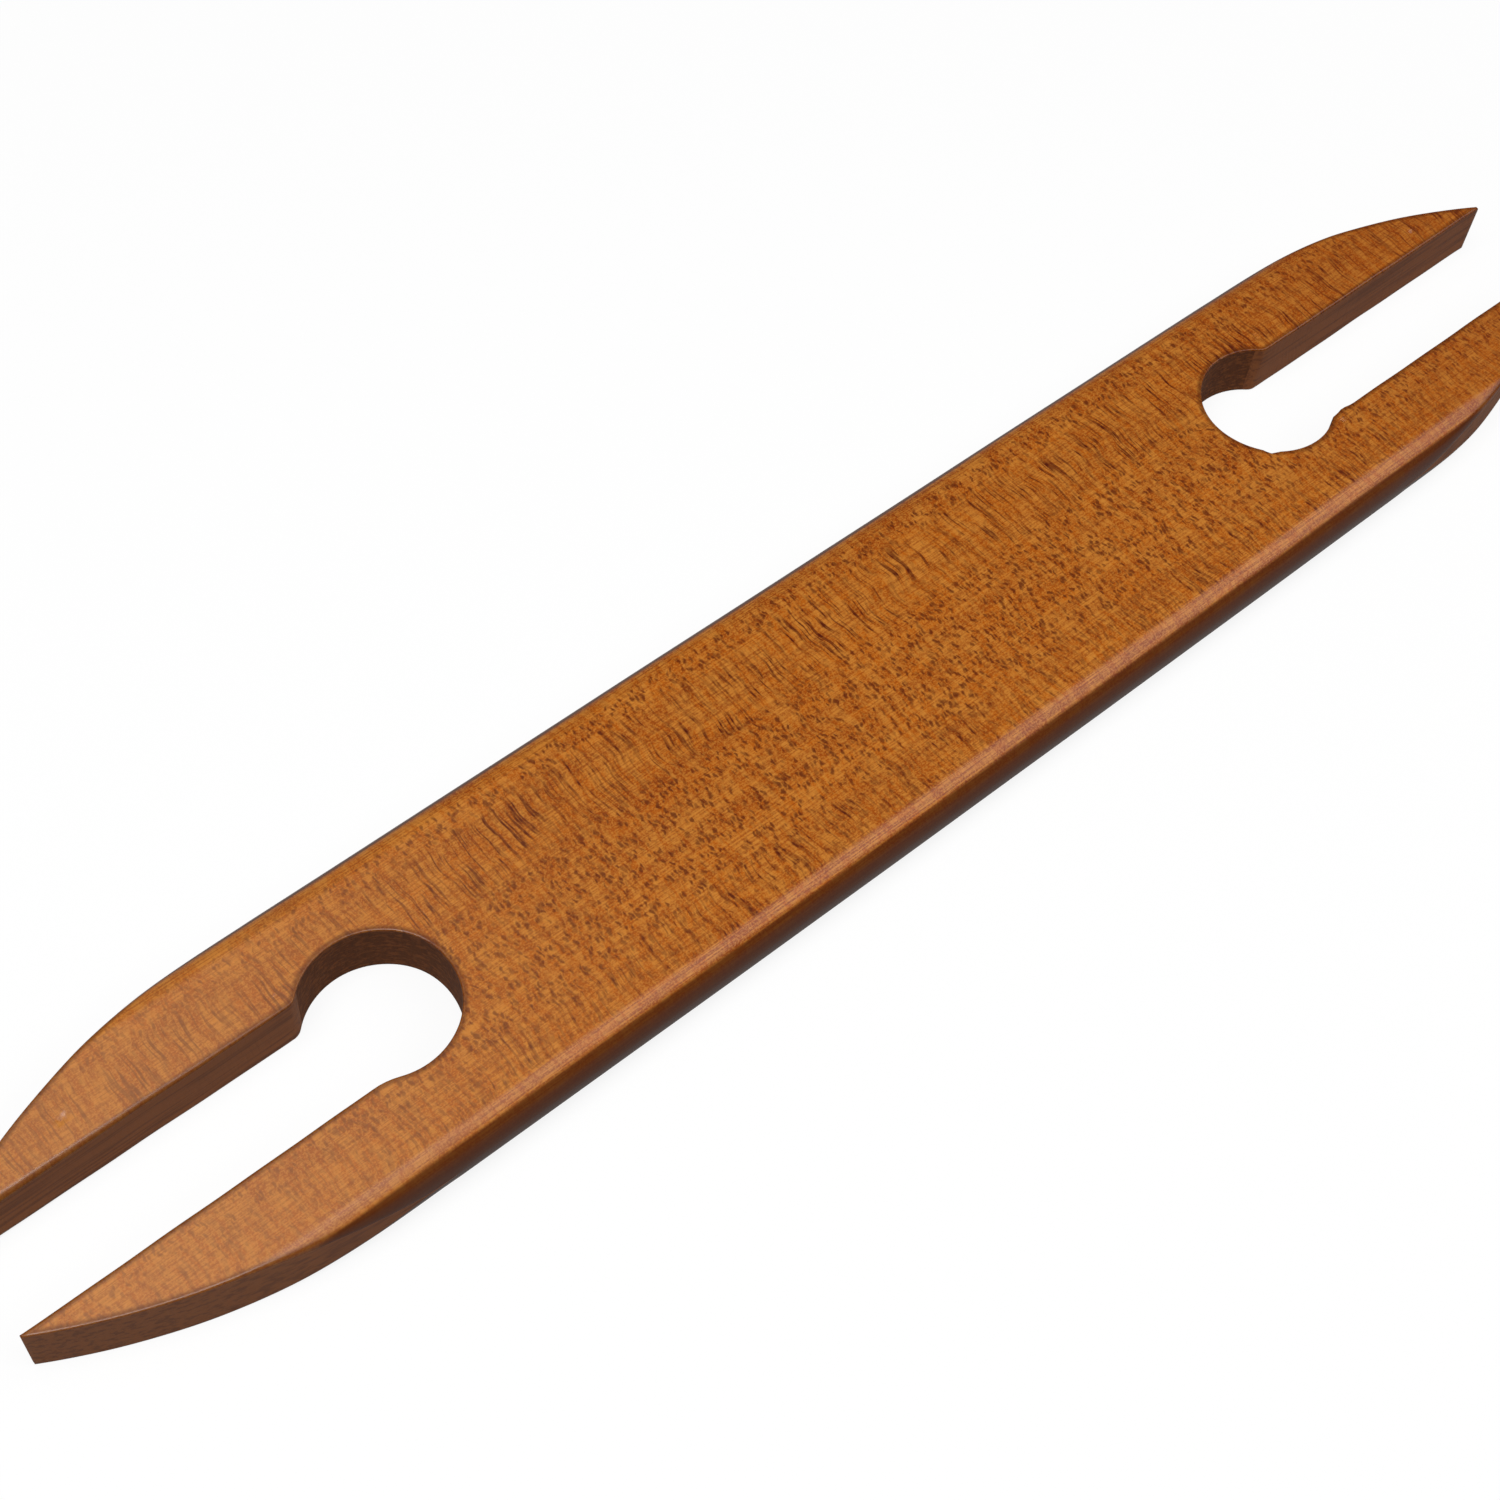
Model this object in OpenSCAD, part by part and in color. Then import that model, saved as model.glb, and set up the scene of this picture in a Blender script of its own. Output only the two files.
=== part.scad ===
// Flat stick shuttle for weaving, sawn from one strip of hardwood
// X runs along the strip, Y across it, and Z up through its thickness
// The origin is in the middle of the underside, on the surface that the shuttle lies on
// Each end has an open keyhole: yarn is laid through the slots and wound from end to end

/* [Strip] */
// Length over the tips of the horns
length = 305; // [260:1:400]
// Width of the strip
width = 48.4; // [44:0.2:60]
// Thickness of the strip
thickness = 10; // [9.8:0.1:14]
// Radius of the rounding along the four long edges
edge_r = 4.8; // [1:0.1:4.9]

/* [Horns] */
// Radius of the curve sawn along the outside of each horn
horn_r = 112; // [80:1:150]
// Width of the blunt tip of each horn
tip_w = 0.8; // [0.6:0.1:3]

/* [Keyholes] */
// Diameter of the round hole
eye_d = 22.5; // [20:0.1:26]
// Distance from the left tips to the centre of the left hole
left_eye_in = 61.4; // [50:0.1:75]
// Distance from the right tips to the centre of the right hole
right_eye_in = 64.2; // [50:0.1:75]
// How far both hole centres sit towards +Y from the slots' centre line
eye_off = 1; // [0:0.1:1.5]
// Width of the straight slot that opens the hole to the end
slot_w = 17; // [14:0.1:18]
// Radius of the sanded corner where the slot meets the hole
neck_r = 2.5; // [1:0.1:4]
// Width of the chamfer along the slot's edges
slot_ease = 0.4; // [0.1:0.1:0.5]

/* [Finish] */
// Colour of the varnished face
face_color = "#AD5E19";

/* [Hidden] */
// Segments that stand for a true circle
$fn = 96;
// How far a cutter runs past the face that it cuts
over = 1;
// Half sizes that the outline and the keyholes share
half_l = length / 2;
half_w = width / 2;
slot_h = slot_w / 2;
// Half width over the two tips of one end
tip_h = slot_h + tip_w;
// Centre of the sawn curve: it touches the strip's side at horn_x and meets the tip at half_l
horn_y = half_w - horn_r;
horn_x = half_l - sqrt(pow(horn_r, 2) - pow(tip_h - horn_y, 2));

// Outline of one end: two sawn curves that close in on the tips
module horn_outline() {
    intersection() {
        translate([0, -half_w])
            square([half_l, width]);
        translate([horn_x, horn_y])
            circle(r = horn_r);
        translate([horn_x, -horn_y])
            circle(r = horn_r);
    }
}

// Outline of the whole blank, seen from above
module blank_outline() {
    square([2 * horn_x, width], center = true);
    for (side = [0, 1])
        mirror([side, 0])
            horn_outline();
}

// Cross-section of the strip, with its four long edges rounded over
module strip_section() {
    square([width - 2 * edge_r, thickness], center = true);
    square([width, thickness - 2 * edge_r], center = true);
    for (y = [-1, 1], z = [-1, 1])
        translate([y * (half_w - edge_r), z * (thickness / 2 - edge_r)])
            circle(r = edge_r);
}

// The rounded strip, lying on its underside
module strip() {
    translate([-half_l, 0, thickness / 2])
        rotate([90, 0, 90])
            linear_extrude(height = length)
                strip_section();
}

// Corner left between the hole and one edge of the slot, less the sanded radius
// side is 1 for the corner on +Y and -1 for the corner on -Y
module neck_corner(side) {
    reach_y = slot_h + neck_r;
    reach_x = sqrt(pow(eye_d / 2 + neck_r, 2) - pow(reach_y - side * eye_off, 2));
    difference() {
        polygon([[0, eye_off], [reach_x, side * reach_y], [reach_x, 0]]);
        translate([reach_x, side * reach_y])
            circle(r = neck_r);
    }
}

// Keyhole seen from above: hole centre at x = 0, slot running to +X for reach
module keyhole_outline(reach) {
    translate([0, eye_off])
        circle(d = eye_d);
    translate([0, -slot_h])
        square([reach, slot_w]);
    neck_corner(1);
    neck_corner(-1);
}

// Section of the chamfer along both edges of the slot, at one face of the strip
module ease_section() {
    polygon([
        [-slot_h - slot_ease - over, over],
        [slot_h + slot_ease + over, over],
        [slot_h - over, -slot_ease - over],
        [-slot_h + over, -slot_ease - over]
    ]);
}

// Cutter for one keyhole, with the slot's edges eased at both faces
// eye_in is the distance from the tips to the hole's centre
module keyhole_cutter(eye_in) {
    reach = eye_in + over;
    ease_x = eye_d / 2 + neck_r;
    translate([half_l - eye_in, 0, 0]) {
        translate([0, 0, -over])
            linear_extrude(height = thickness + 2 * over)
                keyhole_outline(reach);
        translate([ease_x, 0, thickness])
            rotate([90, 0, 90])
                linear_extrude(height = reach - ease_x)
                    ease_section();
        translate([ease_x, 0, 0])
            mirror([0, 0, 1])
                rotate([90, 0, 90])
                    linear_extrude(height = reach - ease_x)
                        ease_section();
    }
}

module shuttle_body() {
    color(face_color)
        difference() {
            intersection() {
                strip();
                linear_extrude(height = thickness)
                    blank_outline();
            }
            keyhole_cutter(right_eye_in);
            mirror([1, 0, 0])
                keyhole_cutter(left_eye_in);
        }
}

shuttle_body();
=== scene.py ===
# %% [markdown]
# A flat weaving shuttle, dressed around its imported frame
#
# The real tool is one strip of hardwood, about a foot long. Its ends are sawn to two horns each, with a
# bored hole and a straight slot between them, and yarn is laid through the slots and wound from end to end.
# The CAD model holds its sizes. This script gives it what a hand leaves behind: edges eased by sandpaper,
# saw cuts that wander a little, a chipped rim, and the figure of the wood under a coat of varnish.
# %% Load the frame
import math

import bmesh
import bpy
import numpy as np
from mathutils import Matrix, Quaternion, Vector
from mathutils.geometry import delaunay_2d_cdt


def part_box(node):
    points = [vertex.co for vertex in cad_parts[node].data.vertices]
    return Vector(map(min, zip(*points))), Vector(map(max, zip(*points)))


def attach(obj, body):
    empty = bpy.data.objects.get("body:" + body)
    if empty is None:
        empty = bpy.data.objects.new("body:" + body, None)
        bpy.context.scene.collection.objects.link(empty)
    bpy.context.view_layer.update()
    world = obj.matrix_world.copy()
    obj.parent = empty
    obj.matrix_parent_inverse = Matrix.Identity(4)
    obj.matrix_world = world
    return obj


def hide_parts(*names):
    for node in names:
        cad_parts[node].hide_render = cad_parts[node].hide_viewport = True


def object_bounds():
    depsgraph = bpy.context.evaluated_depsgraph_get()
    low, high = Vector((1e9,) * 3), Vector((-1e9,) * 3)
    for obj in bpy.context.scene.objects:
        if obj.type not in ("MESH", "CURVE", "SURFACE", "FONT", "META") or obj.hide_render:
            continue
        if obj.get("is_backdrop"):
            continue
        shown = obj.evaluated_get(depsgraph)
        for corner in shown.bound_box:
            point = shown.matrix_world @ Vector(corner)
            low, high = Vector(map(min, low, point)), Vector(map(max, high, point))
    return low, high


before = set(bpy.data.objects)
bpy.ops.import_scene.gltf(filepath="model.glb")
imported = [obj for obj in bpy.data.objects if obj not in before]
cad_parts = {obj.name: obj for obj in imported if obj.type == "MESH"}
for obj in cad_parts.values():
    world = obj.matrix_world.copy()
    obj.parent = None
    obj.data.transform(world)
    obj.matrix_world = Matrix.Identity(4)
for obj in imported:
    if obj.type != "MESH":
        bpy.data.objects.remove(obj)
cad_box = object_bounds()
MM = 0.001  # every size below is in millimetres, and Blender counts in metres
print("CAD box in mm:", [round(v / MM, 2) for v in (*cad_box[0], *cad_box[1])])

# %% [markdown]
# The camera comes first, because every later choice is judged through it. A straight edge and a round hole
# of known shape are enough to work out where a picture was taken from: the two keyholes and the long edges
# gave this eye point and lens. The camera leans a little, so a roll about its own axis is added at the end.
# %% Camera
EYE = Vector((-166.77, -134.92, 304.55)) * MM
AIM = Vector((-24.53, 1.13, 10.0)) * MM
ROLL = 6.83  # degrees
LENS = 57.99  # on a sensor as wide as SENSOR
SENSOR = 36

camera_data = bpy.data.cameras.new("camera")
camera_data.lens = LENS
camera_data.sensor_width = SENSOR
camera_data.clip_start = 10 * MM
camera = bpy.data.objects.new("camera", camera_data)
camera.location = EYE
look = (AIM - EYE).to_track_quat("-Z", "Y")
camera.rotation_mode = "QUATERNION"
camera.rotation_quaternion = look @ Quaternion((0, 0, 1), math.radians(ROLL))
bpy.context.scene.collection.objects.link(camera)
bpy.context.scene.camera = camera
print("camera stands", round((AIM - EYE).length / MM), "mm from the strip")

# %% [markdown]
# The strip's three sizes are read from the frame. The next ones repeat the CAD model's values. The table is
# what sets one sawn end apart from the other: each slot drifts to one side, each corner between slot and
# hole (a neck) was rounded by its own amount, and sandpaper eased each edge by another width.
# %% Sizes
low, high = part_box("shuttle_body")
LENGTH, WIDTH, THICKNESS = [(b - a) / MM for a, b in zip(low, high)]
HALF_L = LENGTH / 2
HALF_W = WIDTH / 2
EDGE_R = 4.8  # rounding of the long edges, as deep as this
EDGE_REACH = 4.5  # and about this far in from the side
HORN_R = 112.0
TIP_H = 9.3  # half width over the two tips of one end
SLOT_H = 8.5  # half width of the slot
HORN_X = HALF_L - math.sqrt(HORN_R**2 - (TIP_H - HALF_W + HORN_R) ** 2)
SIDE_HOLLOW = 0.35  # the near side is this much narrower where the horns start than at the middle
ROOT_EASE = 1.0  # eased width where a horn leaves the side
TIP_EASE = 0.25  # and at its tip
EASE_RUN = 0.75  # share of the horn over which the first becomes the second
LIP_X = 2.4  # a lip that the saw left on the slot's near edge, this far from its neck
LIP_LENGTH = 1.3

ENDS = {
    "right": {
        "hole_x": HALF_L - 64.2, "hole_y": 1.0, "hole_r": 11.05, "drift": 0.3,
        "neck_near": 0.9, "neck_far": 2.5, "lip": 0.35,
        "slot_ease_near": 0.35, "slot_ease_far": (0.35, 0.4), "rim_ease": 0.22,
    },
    "left": {
        "hole_x": HALF_L - 61.4, "hole_y": 1.0, "hole_r": 11.35, "drift": -0.35,
        "neck_near": 11.0, "neck_far": 2.5, "lip": 0.0,
        "slot_ease_near": 0.45, "slot_ease_far": (0.4, 1.1), "rim_ease": 0.25,
    },
}
print(f"strip {LENGTH:.1f} x {WIDTH:.1f} x {THICKNESS:.1f} mm, horns start at x = {HORN_X:.1f}")

# %% [markdown]
# The outline is one closed line round the whole strip. It could be cut from a box with booleans, but then
# every edge would be as sharp as the cutter. Here each point carries two facts besides its place: how far
# its top edge is eased, and which tool cut its wall. Straight cuts and arcs are sampled about once a
# millimetre.
#
# Every cut wanders by a hair, because a bandsaw and a hand with sandpaper made them. The wander is a sum of
# three sines with fixed phases, so it is the same in each run.
# %% Outline helpers
STEP = 1.0
SIDE, SAWN, BORED = 0.0, 1.0, 2.0
WAVES = ((2.1, 1.0), (4.7, 1.4), (11.0, 1.8))  # length over two pi, and height against the others
WANDER = {  # each cut's own phase, and how far it wanders
    "near horn": (1.3, 0.04), "far horn": (4.1, 0.04),
    "near slot": (2.2, 0.045), "far slot": (5.7, 0.045), "bore": (0.7, 0.06),
    "near rounding": (0.4, 0.16), "far rounding": (2.9, 0.16),
}


def wander(s, cut):
    """A small offset that changes slowly along a cut. s is the distance along it."""
    phase, size = WANDER[cut]
    phases = (phase, 2.3 * phase, phase * phase)
    waves = sum(height * np.sin(s / length + p) for (length, height), p in zip(WAVES, phases))
    return size * waves / 2


def side_reach(x, near):
    """Half width of the strip at x. The near side is planed slightly hollow towards its ends."""
    x = np.abs(np.asarray(x, float))
    hollow = SIDE_HOLLOW if near else 0.0
    past = np.clip(x - HORN_X, 0, None)
    curve = HALF_W - HORN_R + np.sqrt(np.clip(HORN_R**2 - past**2, 0, None))
    fade = np.clip(1 - past / (HALF_L - HORN_X), 0, 1)
    return curve - hollow * np.minimum(x / HORN_X, 1) ** 2 * fade


def run(points, ease, cut):
    """Rows of x, y, ease and cut. ease is one number, or one for each point."""
    points = np.asarray(points, float)
    rows = np.zeros((len(points), 4))
    rows[:, :2] = points
    rows[:, 2] = ease
    rows[:, 3] = cut
    return rows


def straight(start, end, step=STEP):
    """Points from start up to, but without, end."""
    start, end = np.array(start, float), np.array(end, float)
    count = max(1, round(np.hypot(*(end - start)) / step))
    return start + (end - start) * np.arange(count)[:, None] / count


def arc(centre, radius, start, end, step=STEP):
    """Points along an arc from angle start up to, but without, angle end. Angles are in radians."""
    count = max(3, round(abs(end - start) * radius / step))
    angles = start + (end - start) * np.arange(count) / count
    return np.column_stack((centre[0] + radius * np.cos(angles), centre[1] + radius * np.sin(angles)))


# %% [markdown]
# A neck is the corner that the hole and the slot leave between them. Its rounding touches the slot's edge
# and the hole, so its centre follows from both: it is one radius off the slot's edge, and one radius and
# the hole's own away from the hole's centre. The horn's curve and the slot's edge are the two long cuts
# beside it.
# %% The cuts of one end


def neck(end, side, slot_y, radius):
    """Centre of a neck's rounding, and where it touches the slot and the hole."""
    centre_y = slot_y + side * radius
    reach = end["hole_r"] + radius
    hole = np.array((end["hole_x"], end["hole_y"]))
    centre = np.array((end["hole_x"] + math.sqrt(reach**2 - (centre_y - end["hole_y"]) ** 2), centre_y))
    on_hole = hole + (centre - hole) * end["hole_r"] / reach
    return centre, np.array((centre[0], slot_y)), on_hole


def angle_to(centre, point):
    """Direction from centre to point, in radians."""
    return math.atan2(point[1] - centre[1], point[0] - centre[0])


def horn_side(near):
    """The horn's outer curve, from where it leaves the straight side to the tip."""
    turn = math.asin((HALF_L - HORN_X) / HORN_R)
    turns = np.linspace(0, turn, round(turn * HORN_R / STEP), endpoint=False)
    along = turns / turn
    x = HORN_X + HORN_R * np.sin(turns)
    y = side_reach(x, near) + wander(x, "near horn" if near else "far horn") * np.sin(np.pi * along)
    ease = TIP_EASE + (ROOT_EASE - TIP_EASE) * np.clip(1 - along / EASE_RUN, 0, 1) ** 1.2
    return run(np.column_stack((x, -y if near else y)), ease, SAWN)


def slot_side(end, slot_y, touch, near):
    """The slot's edge from the tip to the neck, with its wander, its ease and the lip that the saw left."""
    points = straight((HALF_L, slot_y), touch)
    along = (HALF_L - points[:, 0]) / (HALF_L - touch[0])
    fade = np.sin(np.pi * np.clip(along, 0, 1)) ** 0.5
    points[:, 1] += wander(points[:, 0], "near slot" if near else "far slot") * fade
    if near:
        points[:, 1] += end["lip"] * np.exp(-(((points[:, 0] - touch[0] - LIP_X) / LIP_LENGTH) ** 2))
        ease = end["slot_ease_near"]
    else:
        at_neck, at_tip = end["slot_ease_far"]
        ease = at_neck + (at_tip - at_neck) * (1 - along)
    return run(points, ease, SAWN)


# %% [markdown]
# One end is drawn as the right-hand one, from the near side round to the far side: horn, tip, slot, neck,
# hole, neck, slot, tip, horn. Small roundings get their points closer together than long cuts.
# %% Outline of one end
TIP_STEP = 0.4
BORE_STEP = 0.7
BORE_RUN = 50  # length of a hole's arc, nearly


def draw_end(end):
    """One end's outline as rows, drawn as the right-hand end."""
    near_y = end["drift"] - SLOT_H
    far_y = end["drift"] + SLOT_H
    near_c, near_slot, near_hole = neck(end, -1, near_y, end["neck_near"])
    far_c, far_slot, far_hole = neck(end, 1, far_y, end["neck_far"])
    hole = np.array((end["hole_x"], end["hole_y"]))
    start = angle_to(hole, near_hole)
    stop = angle_to(hole, far_hole) - 2 * math.pi
    bore = arc(hole, end["hole_r"], start, stop, BORE_STEP)
    turn = np.linspace(0, 1, len(bore))
    ripple = wander(turn * BORE_RUN, "bore") * np.sin(np.pi * turn)
    bore += (bore - hole) / end["hole_r"] * ripple[:, None]
    near_step = min(STEP, end["neck_near"] / 4)
    near_neck = arc(near_c, end["neck_near"], math.pi / 2, angle_to(near_c, near_hole), near_step)
    far_neck = arc(far_c, end["neck_far"], angle_to(far_c, far_hole), -math.pi / 2, TIP_STEP)
    return np.vstack((
        horn_side(True),
        run(straight((HALF_L, -TIP_H), (HALF_L, near_y), TIP_STEP), TIP_EASE, SAWN),
        slot_side(end, near_y, near_slot, True),
        run(near_neck, end["rim_ease"], SAWN),
        run(bore, end["rim_ease"], BORED),
        run(far_neck, end["rim_ease"], SAWN),
        slot_side(end, far_y, far_slot, False)[::-1],
        run(straight((HALF_L, far_y), (HALF_L, TIP_H), TIP_STEP), TIP_EASE, SAWN),
        run([(HALF_L, TIP_H)], TIP_EASE, SAWN),
        horn_side(False)[::-1],
    ))


# %% [markdown]
# The left end is the same path turned round, with its own sizes, and the long sides join the two. Walls
# that the saw never touched have no eased edge, because the strip's own rounding runs out there. Eases are
# then smoothed along the line, as sandpaper would blend them, and the chip at the right hole's rim is one
# spot with a far larger ease.
# %% The whole outline
CHIP = (80.6, -7.0)  # chipped spot on the right hole's rim
CHIP_DEPTH = 0.9
CHIP_AREA = 0.8  # square millimetres
LEAST_GAP = 0.05  # points closer than this are one point
BLEND = 4  # passes of smoothing over the eases

left_end = draw_end(ENDS["left"])[::-1] * (-1, 1, 1, 1)
side_x = straight((HORN_X, 0), (-HORN_X, 0))[:, 0]
far_side = run(np.column_stack((side_x, side_reach(side_x, False))), 0, SIDE)
near_side = run(np.column_stack((-side_x, -side_reach(side_x, True))), 0, SIDE)
outline = np.vstack((near_side, draw_end(ENDS["right"]), far_side, left_end))
apart = np.hypot(*(outline[:, :2] - np.roll(outline[:, :2], 1, axis=0)).T)
outline = outline[apart > LEAST_GAP]

for _ in range(BLEND):
    beside = np.roll(outline[:, 2], 1) + np.roll(outline[:, 2], -1)
    outline[:, 2] = 0.5 * outline[:, 2] + 0.25 * beside
from_chip = (outline[:, 0] - CHIP[0]) ** 2 + (outline[:, 1] - CHIP[1]) ** 2
outline[:, 2] += CHIP_DEPTH * np.exp(-from_chip / CHIP_AREA) * (outline[:, 3] == BORED)
reach = outline[:, 0].min().round(1), outline[:, 0].max().round(1)
print(len(outline), "outline points, from and to x =", reach)

# %% [markdown]
# The face needs points close together where it bends, which is near its edges, and few where it is flat.
# Rings of points follow the outline inwards, so three questions come up again and again: how far a point is
# from the outline, which way is inwards, and whether a point is inside at all.
# %% Helpers for points inside an outline
BATCH = 2000  # points measured at once, which keeps the tables small
SHARPEST = 0.3  # corners sharper than this don't push their step out any further


def distance_to_outline(points, loop):
    """Shortest distance from each point to the closed line."""
    along = np.roll(loop, -1, axis=0) - loop
    squared = (along**2).sum(1)
    best = np.full(len(points), np.inf)
    for first in range(0, len(points), BATCH):
        part = points[first:first + BATCH, None, :] - loop[None]
        t = np.clip((part * along).sum(2) / squared, 0, 1)
        off = part - t[:, :, None] * along
        best[first:first + BATCH] = np.sqrt((off**2).sum(2)).min(1)
    return best


def inward(loop):
    """For each point, the step that moves both its edges inwards by one."""
    before = loop - np.roll(loop, 1, axis=0)
    after = np.roll(loop, -1, axis=0) - loop
    normals = []
    for edge in (before, after):
        unit = edge / np.hypot(*edge.T)[:, None]
        normals.append(np.column_stack((-unit[:, 1], unit[:, 0])))
    middle = normals[0] + normals[1]
    middle /= np.hypot(*middle.T)[:, None]
    return middle / np.clip((middle * normals[0]).sum(1), SHARPEST, 1)[:, None]


def inside(points, loop):
    """Whether each point lies inside the closed line."""
    x, y = points[:, 0:1], points[:, 1:2]
    x0, y0 = loop.T
    x1, y1 = np.roll(loop, -1, axis=0).T
    crosses = (y0 > y) != (y1 > y)
    at = x0 + (y - y0) * (x1 - x0) / np.where(y1 == y0, 1e-9, y1 - y0)
    return (crosses & (x < at)).sum(1) % 2 == 1


# %% [markdown]
# The rings lie closest at the edge, where every rounding is steepest, and the last one is where the flat
# part starts. A ring point is kept only where it is truly that far from every edge, so rings end by
# themselves where a horn gets narrow. The flat middle is filled with a staggered grid.
# %% Points on the face
RINGS = (
    0.02, 0.045, 0.09, 0.163, 0.25, 0.365, 0.5, 0.643, 0.8, 1.0,
    1.2, 1.41, 1.64, 1.88, 2.4, 2.97, 3.56, 4.17, 4.8,
)
GRID = 2.0
GRID_START = RINGS[-1] + 0.6
SLACK = 0.03  # a ring point may be off by this share of its ring
LEAST_SLACK = 0.004

loop = outline[:, :2]
steps = inward(loop)
points = [loop]
gap_of = [np.zeros(len(loop))]
source_of = [np.arange(len(loop))]
edges = [(i, (i + 1) % len(loop)) for i in range(len(loop))]
total = len(loop)
for ring in RINGS:
    moved = loop + steps * ring
    off = np.abs(distance_to_outline(moved, loop) - ring)
    kept = (off < SLACK * ring + LEAST_SLACK) & inside(moved, loop)
    number = np.full(len(loop), -1)
    number[kept] = total + np.arange(kept.sum())
    for i in np.flatnonzero(kept & np.roll(kept, -1)):
        edges.append((int(number[i]), int(number[(i + 1) % len(loop)])))
    points.append(moved[kept])
    gap_of.append(np.full(kept.sum(), ring))
    source_of.append(np.flatnonzero(kept))
    total += int(kept.sum())

columns = np.arange(-HALF_L, HALF_L, GRID)
rows = np.arange(-HALF_W, HALF_W, GRID * math.sqrt(3) / 2)
grid = np.array([(x + (k % 2) * GRID / 2, y) for k, y in enumerate(rows) for x in columns])
grid = grid[inside(grid, loop)]
grid_gap = distance_to_outline(grid, loop)
flat = grid_gap > GRID_START
points = np.vstack((*points, grid[flat]))
gap_of = np.concatenate((*gap_of, grid_gap[flat]))
source_of = np.concatenate((*source_of, np.zeros(flat.sum(), int)))
print(len(points), "points on the face,", len(edges), "edges that the triangles must keep")

# %% [markdown]
# A constrained triangulation joins the points and keeps the rings as edges, so that no triangle cuts across
# a rounding. The sheet's points carry what the next step needs: the distance to the nearest edge, that
# edge's ease, the share of the side rounding that has been passed, and whether the nearest cut was bored or
# sawn.
# %% Triangles of the flat sheet
SLOW = 0.35  # a plane's marks are longer than a saw's, so the wander is slower here

made = delaunay_2d_cdt([Vector(p) for p in points], edges, [], 1, 1e-6)
sheet_points, _, sheet_faces, sheet_sources = made[:4]
source = np.array([s[0] if s else 0 for s in sheet_sources])
sheet_xy = np.array([tuple(p) for p in sheet_points])


def round_reach(x, cut):
    """How far in the side rounding reaches: a little more or less along the strip, as a plane leaves it."""
    return EDGE_REACH + wander(x * SLOW, cut)


x, y = sheet_xy.T
near_in = HALF_W - SIDE_HOLLOW * np.minimum(np.abs(x) / HORN_X, 1) ** 2 + y
far_in = HALF_W - y
side_in = np.minimum(near_in / round_reach(x, "near rounding"), far_in / round_reach(x, "far rounding"))
facts = {
    "edge_gap": gap_of[source] * MM,
    "ease": outline[source_of[source], 2] * MM,
    "side_in": np.clip(side_in, 0, 1),
    "cut": outline[source_of[source], 3],
}
mesh = bpy.data.meshes.new("shuttle_body_sheet")
mesh.from_pydata([(px * MM, py * MM, 0) for px, py in sheet_xy], [], sheet_faces)
for name, values in facts.items():
    mesh.attributes.new(name, "FLOAT", "POINT").data.foreach_set("value", values.astype(np.float32))
sheet = bpy.data.objects.new("shuttle_body_sheet", mesh)
bpy.context.scene.collection.objects.link(sheet)
print("sheet has", len(mesh.vertices), "points and", len(mesh.polygons), "triangles")

# %% [markdown]
# Colours are written as sRGB hex values, which is how a colour picker shows them, and one function turns
# them to the linear values that a shader works with. Another small function adds a node with its settings
# and links.
# %% Helpers for nodes


def linear(code):
    """An sRGB hex colour as linear red, green, blue and alpha."""
    channels = [int(code[i:i + 2], 16) / 255 for i in (1, 3, 5)]
    return (*[c / 12.92 if c <= 0.04045 else ((c + 0.055) / 1.055) ** 2.4 for c in channels], 1)


def add(tree, kind, inputs=None, **settings):
    """Adds one node. inputs holds values, sockets, or nodes whose first output is meant."""
    node = tree.nodes.new(kind)
    for key, value in settings.items():
        setattr(node, key, value)
    for key, value in (inputs or {}).items():
        if isinstance(value, bpy.types.Node):
            value = value.outputs[0]
        if isinstance(value, bpy.types.NodeSocket):
            tree.links.new(value, node.inputs[key])
        else:
            node.inputs[key].default_value = value
    return node


# %% [markdown]
# The strip is a stained and varnished tropical hardwood. The stain gives an orange brown, the rays show as
# dark red-brown flecks that run across the strip, and the fibres as fine lines along it. Stain lies darkest
# along the edges. The rounded sides are darkened as painted shade, where they turn down and away from the
# lamps, the left end is lightened as painted sheen, the veil that its varnish shows, and the right end is
# darkened a little as painted shade. A shader reads all of it from the wood's own coordinates, in
# millimetres, so the figure goes through the thickness as in real wood.
# %% Colours and patterns of the wood
WOOD = {
    "base": "#C1640C",
    "pale": "#DC9038",
    "deep": "#923B00",
    "fleck": "#581600",
    # dark brown: painted shade on the rounded sides, and also the stain at cut edges and the streaks of the
    # saw
    "side": "#552200",
    # pale: painted sheen on the left end, the veil that its varnish shows
    "painted_sheen": "#CE8C50",
    "wall": "#AE6530",
    "bore": "#6C3A16",
}
SOFT = "SMOOTHSTEP"
MATH = "ShaderNodeMath"
RANGE = "ShaderNodeMapRange"


def blotches(tree, source, size, detail=2.0, rough=0.5, shift=(0, 0, 0)):
    """Random patches, each about as large as size, in millimetres."""
    scaled = add(tree, "ShaderNodeMapping",
                 {"Vector": source, "Location": shift, "Scale": [1 / s for s in size]})
    return add(tree, "ShaderNodeTexNoise",
               {"Vector": scaled, "Scale": 1.0, "Detail": detail, "Roughness": rough})


def dashes(tree, source, size, shift):
    """One dash in each cell of a stretched cell pattern, some strong and some faint."""
    scaled = add(tree, "ShaderNodeMapping",
                 {"Vector": source, "Location": shift, "Scale": [1 / s for s in size]})
    spots = add(tree, "ShaderNodeTexVoronoi", {"Vector": scaled, "Scale": 1.0}, voronoi_dimensions="3D")
    shape = add(tree, RANGE, {"Value": spots.outputs["Distance"], "From Min": 0.55, "From Max": 0.18},
                interpolation_type=SOFT)
    chance = add(tree, "ShaderNodeSeparateColor", {0: spots.outputs["Color"]})
    strength = add(tree, RANGE, {"Value": chance, "From Min": 0.1, "From Max": 0.75, "To Min": 0.1},
                   interpolation_type=SOFT)
    return add(tree, MATH, {0: shape, 1: strength}, operation="MULTIPLY")


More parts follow.
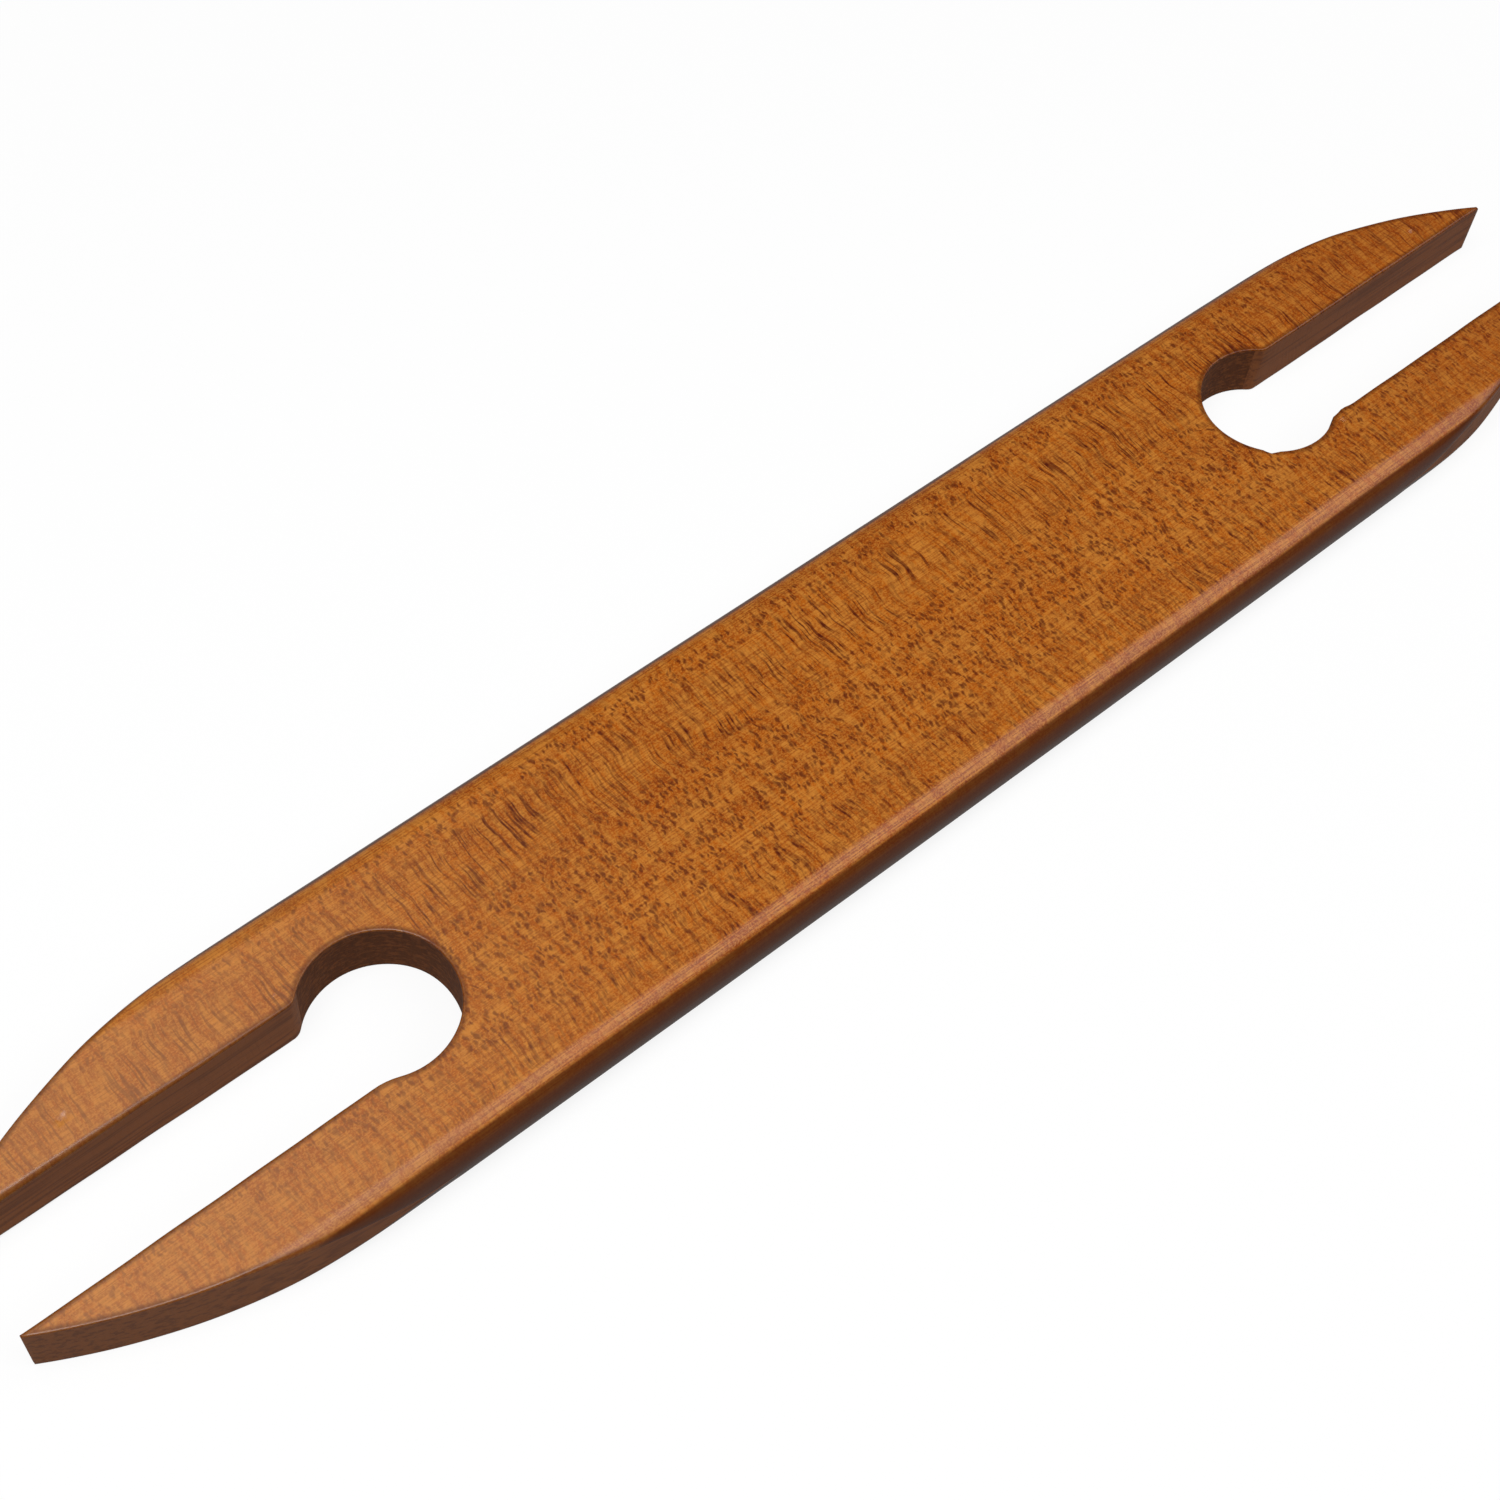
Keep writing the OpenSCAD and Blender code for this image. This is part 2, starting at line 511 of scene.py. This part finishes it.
def coats(tree, tone, rows):
    """Lays colours over tone in turn, each where its pattern goes from start to stop."""
    for pattern, start, stop, strength, colour, curve in rows:
        mask = add(tree, RANGE, {"Value": pattern, "From Min": start, "From Max": stop, "To Max": strength},
                   interpolation_type=curve)
        mix = add(tree, "ShaderNodeMix", {0: mask, 6: tone, 7: linear(WOOD[colour])}, data_type="RGBA")
        tone = mix.outputs[2]
    return tone


# %% [markdown]
# Rays are sheets of cells that run from the pith outwards. Where the saw meets them nearly flat they show
# as long strokes, which lie in two lengthwise zones here, and elsewhere as dashes about 1.3 mm long and
# half as wide. They could be drawn as geometry, but they are only colour, so two patterns in the shader are
# lighter and run into the wood. The coordinates lean a little from place to place, and the strokes bend
# with them.
# %% Ray flecks
RAY_BEND = 2.4  # how far the rays lean along the strip, from end to end of their swing
FAR_ZONE = (3.5, 7.5, 14.5, 18.5)  # y at which strokes set in, are full, begin to fade and end
NEAR_ZONE = (-11, -15)  # y at which strokes set in and are full, up to the edge


def ray_flecks(tree, in_mm, axes, side_in):
    """How dark the rays are, from 0 to 1, and the leaned coordinates that they follow."""
    bend = add(tree, MATH, {0: blotches(tree, in_mm, (14, 7, 7), 1), 1: 0.5}, operation="SUBTRACT")
    bend = add(tree, MATH, {0: bend, 1: RAY_BEND}, operation="MULTIPLY")
    bent_x = add(tree, MATH, {0: axes[0], 1: bend}, operation="ADD")
    leaned = add(tree, "ShaderNodeCombineXYZ", {0: bent_x, 1: axes[1], 2: axes[2]})
    jitter = add(tree, "ShaderNodeTexNoise", {"Vector": in_mm, "Scale": 0.9, "Detail": 1.0})
    loose = add(tree, "ShaderNodeVectorMath", {0: leaned, 1: jitter.outputs[1]}, operation="ADD")
    short_rays = add(tree, MATH,
                     {0: dashes(tree, loose, (0.62, 1.3, 6.0), (0, 0, 0)),
                      1: dashes(tree, loose, (0.8, 1.7, 6.0), (3, 5, 2))},
                     operation="MAXIMUM")
    long_rays = add(tree, RANGE,
                    {"Value": blotches(tree, leaned, (0.42, 7, 3), 1.5, 0.5, (5, 3, 1)),
                     "From Min": 0.49, "From Max": 0.66},
                    interpolation_type=SOFT)

    zone = add(tree, MATH,
               {0: add(tree, RANGE, {"Value": axes[1], "From Min": FAR_ZONE[0], "From Max": FAR_ZONE[1]},
                       interpolation_type=SOFT),
                1: add(tree, RANGE, {"Value": axes[1], "From Min": FAR_ZONE[3], "From Max": FAR_ZONE[2]},
                       interpolation_type=SOFT)},
               operation="MULTIPLY")
    near_zone = add(tree, RANGE,
                    {"Value": axes[1], "From Min": NEAR_ZONE[0], "From Max": NEAR_ZONE[1], "To Max": 0.6},
                    interpolation_type=SOFT)
    zone = add(tree, MATH, {0: zone, 1: near_zone}, operation="ADD", use_clamp=True)

    # strokes come in patches, and dashes give way to them
    patches = add(tree, RANGE,
                  {"Value": blotches(tree, in_mm, (9, 5, 6)), "From Min": 0.36, "From Max": 0.6,
                   "To Min": 0.28, "To Max": 0.8},
                  interpolation_type=SOFT)
    strokes = add(tree, MATH, {0: long_rays, 1: zone}, operation="MULTIPLY")
    strokes = add(tree, MATH, {0: strokes, 1: patches}, operation="MULTIPLY")
    left_over = add(tree, RANGE, {"Value": zone, "To Min": 0.78, "To Max": 0.312}, interpolation_type=SOFT)
    dots = add(tree, MATH, {0: short_rays, 1: left_over}, operation="MULTIPLY")
    flecks = add(tree, MATH, {0: strokes, 1: dots}, operation="ADD", use_clamp=True)

    # fainter on the rounded sides, and towards the left end, where the painted sheen lies
    on_flat = add(tree, RANGE, {"Value": side_in, "From Min": 0.72, "From Max": 0.98},
                  interpolation_type=SOFT)
    off_side = add(tree, RANGE, {"Value": on_flat, "To Min": 0.25}, interpolation_type=SOFT)
    flecks = add(tree, MATH, {0: flecks, 1: off_side}, operation="MULTIPLY")
    sheen_fade = add(tree, RANGE, {"Value": axes[0], "From Min": -150, "From Max": -40, "To Min": 0.7},
                 interpolation_type=SOFT)
    return add(tree, MATH, {0: flecks, 1: sheen_fade}, operation="MULTIPLY"), leaned


# %% [markdown]
# One function makes the three finishes, because they are the same wood. Sanded and varnished, it is smooth
# and mirrors the lamps softly. A sawn wall took stain but little varnish, so it is dull, with streaks along
# the cut. A bored wall is the darkest and the roughest, because the bit tore end grain there. Varnish has
# an IOR of about 1.5. The fibres are drawn 0.26 mm wide, about twice their real width, because they would
# not show otherwise.
# %% Finishes
IOR = 1.5
ROUGHNESS = {"face": 0.25, "sawn": 0.55, "bored": 0.75}
RELIEF = {"face": 0.02, "sawn": 0.08, "bored": 0.2}  # depth of the pores


def wood_material(name, kind):
    """One finish of the same wood. kind is face, sawn or bored."""
    material = bpy.data.materials.new(name)
    material.use_nodes = True
    tree = material.node_tree
    tree.nodes.clear()
    place = add(tree, "ShaderNodeTexCoord").outputs["Object"]
    in_mm = add(tree, "ShaderNodeVectorMath", {0: place, 1: (1 / MM, 1 / MM, 1 / MM)}, operation="MULTIPLY")
    axes = add(tree, "ShaderNodeSeparateXYZ", {0: in_mm}).outputs
    side_in = add(tree, "ShaderNodeAttribute", attribute_name="side_in").outputs["Fac"]
    edge_gap = add(tree, "ShaderNodeAttribute", attribute_name="edge_gap").outputs["Fac"]
    flecks, leaned = ray_flecks(tree, in_mm, axes, side_in)

    on_flat = add(tree, RANGE, {"Value": side_in, "From Min": 0.72, "From Max": 0.98},
                  interpolation_type=SOFT)
    fibre_strength = add(tree, RANGE, {"Value": on_flat, "To Min": 0.85, "To Max": 0.6},
                         interpolation_type=SOFT)
    # bands of growth, ripples across them, fibres, their cut ends, rays, painted sheen and shade, and stain
    # at the edges
    rows = [
        (blotches(tree, in_mm, (90, 4.5, 4.5)), 0.45, 0.65, 0.5, "deep", SOFT),
        (blotches(tree, leaned, (1.2, 8, 5), shift=(1, 9, 4)), 0.4, 0.62, 0.65, "pale", SOFT),
        (blotches(tree, in_mm, (11, 0.26, 0.26), 2, 0.6), 0.4, 0.6, fibre_strength, "deep", SOFT),
        (blotches(tree, in_mm, (0.3, 0.3, 0.3), 2, 0.6), 0.42, 0.62, 0.5, "pale", SOFT),
        (flecks, 0, 1, 1, "fleck", "LINEAR"),
        # painted sheen: the left end lightened
        (axes[0], -30, -150, 0.35, "painted_sheen", SOFT),
        # painted shade: the right end darkened a little
        (axes[0], 60, 150, 0.3, "deep", SOFT),
        # painted shade: the rounded sides darkened where they turn down and away from the lamps
        (side_in, 0.46, 0.34, 0.85, "side", SOFT),
        (edge_gap, 1.1 * MM, 0.4 * MM, 0.6, "side", SOFT),
    ]
    if kind == "sawn":
        rows.append((1, 0, 1, 0.75, "wall", "LINEAR"))
        rows.append((blotches(tree, in_mm, (22, 0.5, 0.7), 2, 0.6), 0.45, 0.65, 0.45, "side", SOFT))
    if kind == "bored":
        rows.append((1, 0, 1, 0.8, "bore", "LINEAR"))
        rows.append((blotches(tree, in_mm, (1.2, 1.2, 0.5), 2, 0.6), 0.45, 0.65, 0.5, "wall", SOFT))
    tone = coats(tree, linear(WOOD["base"]), rows)

    # varnish sinks a little into the rays, and the pores show as fine pits
    pits = add(tree, MATH, {0: flecks, 1: 0.5}, operation="MULTIPLY")
    height = add(tree, MATH, {0: blotches(tree, in_mm, (0.5, 0.12, 0.12), 2, 0.6), 1: pits},
                 operation="SUBTRACT")
    bump = add(tree, "ShaderNodeBump", {"Height": height, "Strength": 0.5, "Distance": RELIEF[kind] * MM})
    shader = add(tree, "ShaderNodeBsdfPrincipled",
                 {"Base Color": tone, "Normal": bump, "Roughness": ROUGHNESS[kind], "IOR": IOR})
    add(tree, "ShaderNodeOutputMaterial", {"Surface": shader})
    return material


FINISHES = {
    "Face Finish": wood_material("varnished_hardwood_sanded_face", "face"),
    "Sawn Finish": wood_material("stained_hardwood_sawn_wall", "sawn"),
    "Bored Finish": wood_material("stained_hardwood_bored_wall", "bored"),
}
print("finishes:", [m.name for m in FINISHES.values()])

# %% [markdown]
# The body follows a rule: its half thickness at a point depends only on how far that point is from the
# strip's side and from the nearest cut. Geometry Nodes apply it, in two parts. The first works out the half
# thickness, with one quarter round for the strip's side and another for the eased edge of a cut.
# %% Half thickness at each point
EASE_SHARE = 0.8  # an eased edge takes at most this share of the half thickness


def rounding(tree, radius, gap):
    """How far a quarter round of that radius falls at gap from its edge: all of it at the edge."""
    short = add(tree, MATH, {0: radius, 1: gap}, operation="SUBTRACT")
    short = add(tree, MATH, {0: short, 1: 0.0}, operation="MAXIMUM")
    short = add(tree, MATH, {0: short, 1: short}, operation="MULTIPLY")
    whole = add(tree, MATH, {0: radius, 1: radius}, operation="MULTIPLY")
    left = add(tree, MATH, {0: whole, 1: short}, operation="SUBTRACT")
    left = add(tree, MATH, {0: left, 1: 0.0}, operation="MAXIMUM")
    left = add(tree, MATH, {0: left}, operation="SQRT")
    return add(tree, MATH, {0: radius, 1: left}, operation="SUBTRACT")


def half_thickness(tree, source, facts):
    """The middle's height above the underside, and how far the faces lie above and below it."""
    middle = add(tree, MATH, {0: source["Thickness"], 1: 0.5}, operation="MULTIPLY")
    from_side = add(tree, MATH, {0: source["Edge Radius"], 1: facts["side_in"]}, operation="MULTIPLY")
    side_fall = rounding(tree, source["Edge Radius"], from_side)
    strip_half = add(tree, MATH, {0: middle, 1: side_fall}, operation="SUBTRACT")
    largest = add(tree, MATH, {0: strip_half, 1: EASE_SHARE}, operation="MULTIPLY")
    ease = add(tree, MATH, {0: facts["ease"], 1: largest}, operation="MINIMUM")
    fall = rounding(tree, ease, facts["edge_gap"])
    return middle, add(tree, MATH, {0: strip_half, 1: fall}, operation="SUBTRACT")


# %% [markdown]
# The second part pushes the flat sheet up in three steps, which makes the walls, closes the underside with
# a flipped copy, and sets each level to its height. The two inner levels lie close to the wall's edges, so
# that smooth shading bends there and not across the whole wall. A cut face that was just made knows that it
# is one, and its points know which tool made it, so the finishes find their faces by themselves.
# %% Geometry Nodes for the body
LEVELS = 3
LEVEL = 1.0  # height of one step of the raw extrusion
SUPPORT = 0.35  # how far the inner levels lie from the wall's edges
SUPPORT_SHARE = 0.3  # or this share of the half thickness, where that is less


def level_height(tree, middle, half):
    """The height that each point of the raw extrusion gets: faces outside, support levels just inside."""
    place = add(tree, "ShaderNodeSeparateXYZ", {0: add(tree, "GeometryNodeInputPosition")}).outputs
    level = add(tree, MATH, {0: place[2], 1: LEVEL * MM}, operation="DIVIDE")
    off_middle = add(tree, MATH, {0: level, 1: LEVELS / 2}, operation="SUBTRACT")
    upper = add(tree, MATH, {0: off_middle}, operation="SIGN")
    inner = add(tree, MATH, {0: off_middle}, operation="ABSOLUTE")
    inner = add(tree, MATH, {0: inner, 1: 1.0}, operation="LESS_THAN")
    support = add(tree, MATH, {0: half, 1: SUPPORT_SHARE}, operation="MULTIPLY")
    support = add(tree, MATH, {0: support, 1: SUPPORT * MM}, operation="MINIMUM")
    support = add(tree, MATH, {0: inner, 1: support}, operation="MULTIPLY")
    reach = add(tree, MATH, {0: half, 1: support}, operation="SUBTRACT")
    reach = add(tree, MATH, {0: upper, 1: reach}, operation="MULTIPLY")
    height = add(tree, MATH, {0: middle, 1: reach}, operation="ADD")
    return add(tree, "ShaderNodeCombineXYZ", {0: place[0], 1: place[1], 2: height})


def body_tree():
    """Builds the tree that turns the flat sheet into the strip."""
    tree = bpy.data.node_groups.new("shuttle_body_rule", "GeometryNodeTree")
    sockets = tree.interface
    sockets.new_socket("Geometry", in_out="INPUT", socket_type="NodeSocketGeometry")
    for name in ("Thickness", "Edge Radius"):
        sockets.new_socket(name, in_out="INPUT", socket_type="NodeSocketFloat")
    for name in FINISHES:
        sockets.new_socket(name, in_out="INPUT", socket_type="NodeSocketMaterial")
    sockets.new_socket("Geometry", in_out="OUTPUT", socket_type="NodeSocketGeometry")
    source = tree.nodes.new("NodeGroupInput").outputs
    facts = {name: add(tree, "GeometryNodeInputNamedAttribute", {"Name": name}, data_type="FLOAT")
             for name in ("edge_gap", "ease", "side_in", "cut")}

    geometry, top, wall = source["Geometry"], True, False
    for _ in range(LEVELS):
        grown = add(tree, "GeometryNodeExtrudeMesh",
                    {"Mesh": geometry, "Selection": top, "Offset": (0, 0, 1), "Offset Scale": LEVEL * MM,
                     "Individual": False}, mode="FACES")
        geometry, top = grown.outputs["Mesh"], grown.outputs["Top"]
        wall = add(tree, "FunctionNodeBooleanMath", {0: wall, 1: grown.outputs["Side"]}, operation="OR")

    underside = add(tree, "GeometryNodeFlipFaces", {"Mesh": source["Geometry"]})
    closed = add(tree, "GeometryNodeJoinGeometry")
    tree.links.new(geometry, closed.inputs[0])
    tree.links.new(underside.outputs[0], closed.inputs[0])
    merged = add(tree, "GeometryNodeMergeByDistance", {"Geometry": closed, "Distance": 1e-6})
    middle, half = half_thickness(tree, source, facts)
    placed = add(tree, "GeometryNodeSetPosition",
                 {"Geometry": merged, "Position": level_height(tree, middle, half)})
    smooth = add(tree, "GeometryNodeSetShadeSmooth", {"Geometry": placed})
    solid = add(tree, "GeometryNodeRealizeInstances", {"Geometry": smooth})

    chosen = {"Face Finish": True}
    for name, above in (("Sawn Finish", (SIDE + SAWN) / 2), ("Bored Finish", (SAWN + BORED) / 2)):
        made_so = add(tree, "FunctionNodeCompare", {0: facts["cut"], 1: above},
                      data_type="FLOAT", operation="GREATER_THAN")
        chosen[name] = add(tree, "FunctionNodeBooleanMath", {0: wall, 1: made_so}, operation="AND")
    for name, faces in chosen.items():
        solid = add(tree, "GeometryNodeSetMaterial",
                    {"Geometry": solid, "Selection": faces, "Material": source[name]})
    tree.links.new(solid.outputs[0], tree.nodes.new("NodeGroupOutput").inputs[0])
    return tree


rule = body_tree()
modifier = sheet.modifiers.new("rule", "NODES")
modifier.node_group = rule
wanted = {"Thickness": THICKNESS * MM, "Edge Radius": EDGE_R * MM, **FINISHES}
for socket in rule.interface.items_tree:
    if socket.in_out == "INPUT" and socket.name in wanted:
        modifier[socket.identifier] = wanted[socket.name]
print("rule has", len(rule.nodes), "nodes")

# %% [markdown]
# The evaluated result becomes a plain mesh, and the sheet with its modifier goes away. A quick count with
# bmesh shows that every edge has two faces, which means that the solid is closed, and that its volume is
# positive, which means that its faces point outwards.
# %% Plain mesh
bpy.context.view_layer.update()
evaluated = sheet.evaluated_get(bpy.context.evaluated_depsgraph_get())
body_mesh = bpy.data.meshes.new_from_object(evaluated)
body_mesh.name = "shuttle_body_finished"
bpy.data.objects.remove(sheet)
body = bpy.data.objects.new("shuttle_body_finished", body_mesh)
bpy.context.scene.collection.objects.link(body)

check = bmesh.new()
check.from_mesh(body_mesh)
open_edges = sum(1 for edge in check.edges if len(edge.link_faces) != 2)
volume = check.calc_volume(signed=True) / MM**3
triangles = sum(len(face.verts) - 2 for face in check.faces)
check.free()
print(triangles, "triangles,", open_edges, "open edges,", round(volume), "cubic mm")
print(len(body_mesh.materials), "finishes on the mesh")

# %% [markdown]
# The shuttle lies on a plain floor with matt paint, which gives the eye no gloss and no pattern. Most of
# what the camera sees of it is an even glow just under white, and the rest is paint that the lamps light,
# so the strip keeps a faint soft shadow. Light that bounces off the floor comes from a mid grey, so that it
# doesn't fill the dark undersides. Glass would see the pale floor too, and gloss a small part of it.
# %% Floor
FLOOR = 3.0  # metres
FLOOR_GLOW = 0.86
FLOOR_PAINT = 0.16
FLOOR_IN_GLOSS = 0.12


def seen_as_white(tree, in_gloss):
    """1 for what the camera sees, directly or through glass, and in_gloss for what a gloss mirrors."""
    path = add(tree, "ShaderNodeLightPath").outputs
    direct = add(tree, MATH, {0: path["Is Camera Ray"], 1: path["Is Transmission Ray"]},
                 operation="ADD", use_clamp=True)
    mirrored = add(tree, MATH, {0: path["Is Glossy Ray"], 1: in_gloss}, operation="MULTIPLY")
    return add(tree, MATH, {0: direct, 1: mirrored}, operation="ADD", use_clamp=True)


def floor_material():
    """Matt paint: pale to the camera, grey to bounced light, and it keeps a soft shadow."""
    material = bpy.data.materials.new("matt_painted_floor")
    material.use_nodes = True
    tree = material.node_tree
    tree.nodes.clear()
    grey = add(tree, "ShaderNodeBsdfDiffuse", {"Color": linear("#8A8A88")})
    glow = add(tree, "ShaderNodeEmission", {"Color": linear("#FFFFFF"), "Strength": FLOOR_GLOW})
    paint = add(tree, "ShaderNodeBsdfDiffuse", {"Color": (FLOOR_PAINT, FLOOR_PAINT, FLOOR_PAINT, 1)})
    pale = add(tree, "ShaderNodeAddShader", {0: glow, 1: paint})
    mix = add(tree, "ShaderNodeMixShader", {0: seen_as_white(tree, FLOOR_IN_GLOSS), 1: grey, 2: pale})
    add(tree, "ShaderNodeOutputMaterial", {"Surface": mix})
    return material


floor_mesh = bpy.data.meshes.new("floor")
corners = [(-FLOOR, -FLOOR, 0), (FLOOR, -FLOOR, 0), (FLOOR, FLOOR, 0), (-FLOOR, FLOOR, 0)]
floor_mesh.from_pydata(corners, [], [(0, 1, 2, 3)])
floor_mesh.materials.append(floor_material())
floor = bpy.data.objects.new("floor", floor_mesh)
bpy.context.scene.collection.objects.link(floor)
floor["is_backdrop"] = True
print("floor is", 2 * FLOOR, "m wide")

# %% [markdown]
# The light is a studio's. A large soft box overhead gives the colours their level. A second one in front is
# what the near rounding mirrors as a pale band. A small one behind leaves a faint veil on the left end,
# where the varnish faces it. The world adds a little from all sides, and to the camera it is a white
# backdrop.
# %% Lights
WORLD_LIGHT = 0.05
WORLD_IN_GLOSS = 0.04


def soft_box(name, centre, size, power):
    """A rectangular area light that faces the strip, with its long side along the strip. Metres and watts."""
    data = bpy.data.lights.new(name, "AREA")
    data.shape = "RECTANGLE"
    data.size, data.size_y = size
    data.energy = power
    lamp = bpy.data.objects.new(name, data)
    back = Vector(centre).normalized()
    across = back.cross(Vector((1, 0, 0))).normalized()
    along = across.cross(back)
    lamp.matrix_world = Matrix((along, across, back)).transposed().to_4x4()
    lamp.location = centre
    bpy.context.scene.collection.objects.link(lamp)


soft_box("overhead_soft_box", (-0.35, -0.05, 0.95), (0.7, 0.6), 6.6)
soft_box("front_soft_box", (0.44, -0.36, 0.83), (1.0, 0.8), 3.8)
soft_box("back_soft_box", (0.0, 0.45, 1.0), (0.35, 0.3), 0.35)

world = bpy.data.worlds.new("studio")
world.use_nodes = True
sky = world.node_tree
sky.nodes.clear()
room = add(sky, "ShaderNodeBackground", {"Color": linear("#FFFFFF"), "Strength": WORLD_LIGHT})
backdrop = add(sky, "ShaderNodeBackground", {"Color": linear("#FFFFFF"), "Strength": 1.0})
shown = add(sky, "ShaderNodeMixShader", {0: seen_as_white(sky, WORLD_IN_GLOSS), 1: room, 2: backdrop})
add(sky, "ShaderNodeOutputWorld", {"Surface": shown})
bpy.context.scene.world = world
bpy.context.scene.view_settings.view_transform = "Standard"
print("lamps:", [lamp.name for lamp in bpy.data.lights])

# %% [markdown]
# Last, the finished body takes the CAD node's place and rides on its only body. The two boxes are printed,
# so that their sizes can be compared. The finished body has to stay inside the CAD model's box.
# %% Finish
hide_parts("shuttle_body")
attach(body, "root")
finished_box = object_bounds()
boxes = {"cad": cad_box, "visual": finished_box}
boxes = {name: [[float(v) for v in corner] for corner in box] for name, box in boxes.items()}
print("boxes:", boxes)
